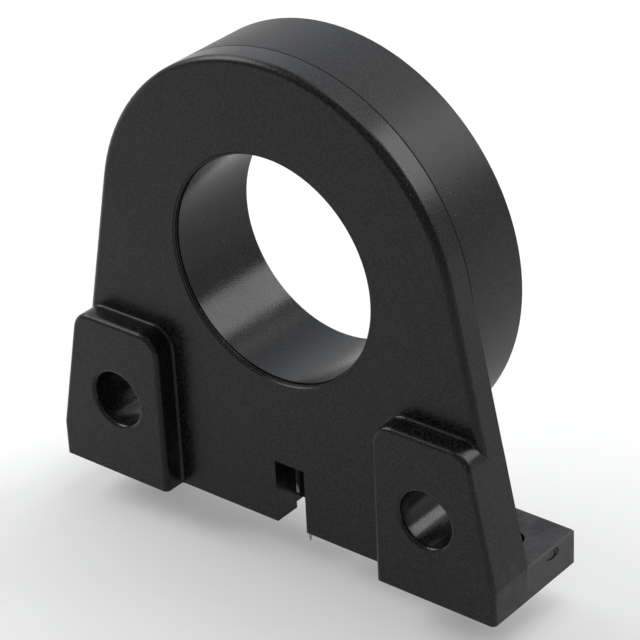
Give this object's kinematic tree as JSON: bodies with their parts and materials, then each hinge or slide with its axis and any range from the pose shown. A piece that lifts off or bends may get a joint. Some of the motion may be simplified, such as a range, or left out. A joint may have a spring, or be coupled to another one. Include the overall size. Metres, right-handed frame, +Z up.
{
  "type": "current sensor",
  "caption": "Ring-shaped current sensor with a through bore for the conductor, front lugs, screw feet and flat leads out of its base.",
  "frame": {"origin": "on the axis of the conductor bore, in the plane where the front cover meets the rear case", "axes": "+X along the base, +Y along the conductor bore from the front cover to the back, +Z up from the base to the ring"},
  "size_m": [0.076, 0.0187, 0.0754],
  "materials": {
    "housing": "satin moulded, fine grain",
    "core": "matte sintered",
    "cushion": "matte silicone",
    "ceramic": "matte white ceramic",
    "chip": "matte",
    "seal": "satin",
    "leads": "tinned"
  },
  "bodies": {
    "root": {"front_cover": "housing", "rear_case": "housing", "flux_core": "core", "core_cushion": "cushion", "sensor_plate": "ceramic", "hall_chip": "chip", "lead_seal": "seal", "supply_lead": "leads", "ground_lead": "leads", "output_lead": "leads"}
  },
  "joints": []
}
